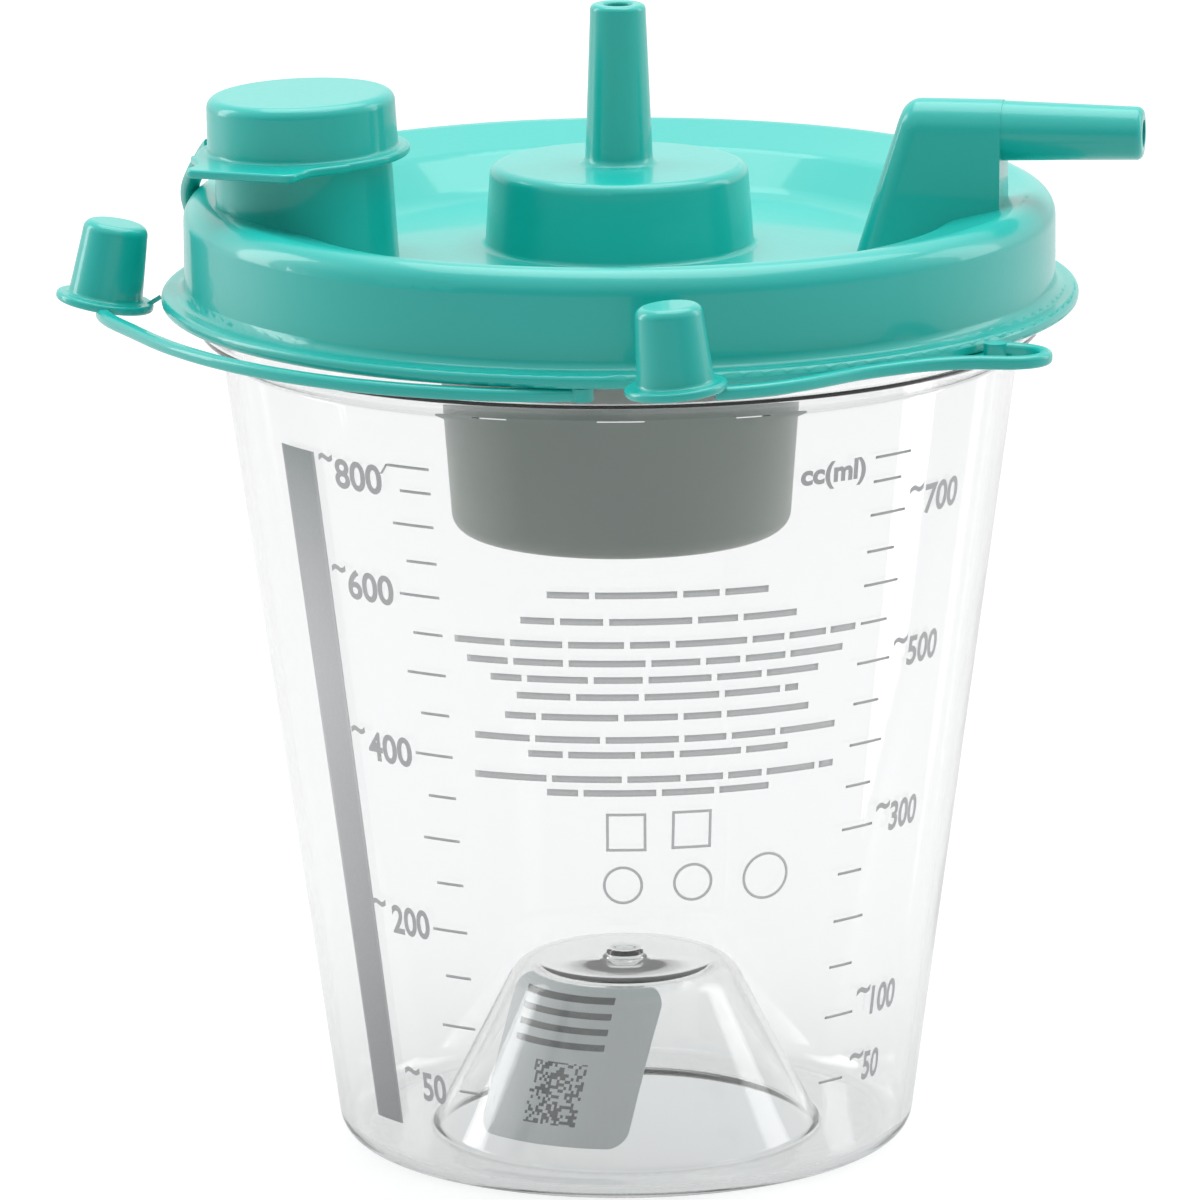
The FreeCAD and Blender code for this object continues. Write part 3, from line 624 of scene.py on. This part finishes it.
corner_y = TETHER_THICK / 2 - TETHER_EDGE
edge_turn = []
for side_x, side_y, first in ((1, 1, 0), (-1, 1, 90), (-1, -1, 180), (1, -1, 270)):
    for k in range(EDGE_STEPS + 1):
        angle = math.radians(first + 90 / EDGE_STEPS * k)
        edge_turn.append((side_x * corner_x + TETHER_EDGE * math.cos(angle),
                          side_y * corner_y + TETHER_EDGE * math.sin(angle)))
band = bmesh.new()
rings = []
first_across = (middles[1] - middles[0]).cross(Vector((0, 0, 1))).normalized()
last_across = polar(1, foot_azimuth - 90)
for i, middle in enumerate(middles):
    along = (middles[min(i + 1, len(middles) - 1)] - middles[max(i - 1, 0)]).normalized()
    across = first_across.lerp(last_across, i / (len(middles) - 1))
    across = (across - along * across.dot(along)).normalized()
    normal = along.cross(across)
    rings.append([band.verts.new((middle + across * x + normal * y) * MM) for x, y in edge_turn])
for low, high in zip(rings, rings[1:]):
    for k in range(len(low)):
        m = (k + 1) % len(low)
        band.faces.new((low[k], low[m], high[m], high[k]))
band.faces.new(rings[0])
band.faces.new(rings[-1])
bmesh.ops.recalc_face_normals(band, faces=band.faces)
tether = finished_piece("spout_cap_tether", band, sharp_deg=50)
tether.data.materials.append(teal_plastic)
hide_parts("spout_cap_strap")
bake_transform(tether)


# Inside, the splash guard is a satin grey polystyrene cup pushed onto the ring under the boss,
# and the retainer ring of the same plastic holds the white filter disc against its seat.
grey_plastic = moulded_plastic("grey_guard_plastic",
                               (0.30, 0.335, 0.295), (0.27, 0.30, 0.265), 0.36)
refinish("splash_guard", grey_plastic)
refinish("filter_retainer", grey_plastic)
refinish("filter_disc", moulded_plastic("filter_felt", (0.9, 0.9, 0.88), (0.8, 0.8, 0.78), 0.8))


# The batch label: a grey film sticker laid on the front of the hollow in the base, with a
# square patch of random cells and rows of plain bars printed on the film.
label_film = moulded_plastic("label_film", (0.90, 0.90, 0.90), (0.84, 0.84, 0.84), 0.45)
tree = label_film.node_tree
LABEL_AZIMUTH = math.radians(-117.5)
CELL = 0.00042
CELL_DARK_ABOVE = 0.5
ROW_STEP = 0.0021
ROW_INK_SHARE = 0.42
coordinates = tree.nodes.new("ShaderNodeTexCoord")


def label_maths(operation, *values):
    """One sum on the label's surface: each input is a socket or a number."""
    node = tree.nodes.new("ShaderNodeMath")
    node.operation = operation
    for slot, value in enumerate(values):
        if isinstance(value, (int, float)):
            node.inputs[slot].default_value = value
        else:
            tree.links.new(value, node.inputs[slot])
    return node.outputs[0]


def label_window(value, low, high):
    """1 between two values and 0 outside."""
    return label_maths("MULTIPLY", label_maths("GREATER_THAN", value, low),
                       label_maths("LESS_THAN", value, high))


sideways = tree.nodes.new("ShaderNodeVectorMath")
sideways.operation = "DOT_PRODUCT"
sideways.inputs[1].default_value = (-math.sin(LABEL_AZIMUTH), math.cos(LABEL_AZIMUTH), 0)
tree.links.new(coordinates.outputs["Object"], sideways.inputs[0])
split = tree.nodes.new("ShaderNodeSeparateXYZ")
tree.links.new(coordinates.outputs["Object"], split.inputs[0])
across = sideways.outputs["Value"]
upward = split.outputs["Z"]
patch = label_maths("MULTIPLY", label_window(across, -0.0042, 0.0042),
                    label_window(upward, 0.0065, 0.0149))
cell_place = tree.nodes.new("ShaderNodeCombineXYZ")
for axis, along_label in (("X", across), ("Y", upward)):
    cell_number = label_maths("FLOOR", label_maths("DIVIDE", along_label, CELL))
    tree.links.new(cell_number, cell_place.inputs[axis])
cells = tree.nodes.new("ShaderNodeTexWhiteNoise")
cells.noise_dimensions = "2D"
tree.links.new(cell_place.outputs[0], cells.inputs["Vector"])
dark_cell = label_maths("MULTIPLY", patch,
                        label_maths("GREATER_THAN", cells.outputs["Value"], CELL_DARK_ABOVE))
row_share = label_maths("FRACT", label_maths("DIVIDE", upward, ROW_STEP))
row_area = label_maths("MULTIPLY", label_window(across, -0.0088, 0.006),
                       label_window(upward, 0.0164, 0.0245))
rows = label_maths("MULTIPLY", label_maths("LESS_THAN", row_share, ROW_INK_SHARE), row_area)
printed = label_maths("MAXIMUM", dark_cell, rows)
label_shader = tree.nodes["Principled BSDF"]
film_colour = label_shader.inputs["Base Color"].links[0].from_socket
label_mix = tree.nodes.new("ShaderNodeMix")
label_mix.data_type = "RGBA"
label_mix.inputs["B"].default_value = (0.16, 0.16, 0.16, 1)
tree.links.new(printed, label_mix.inputs["Factor"])
tree.links.new(film_colour, label_mix.inputs["A"])
tree.links.new(label_mix.outputs["Result"], label_shader.inputs["Base Color"])
refinish("batch_label", label_film)
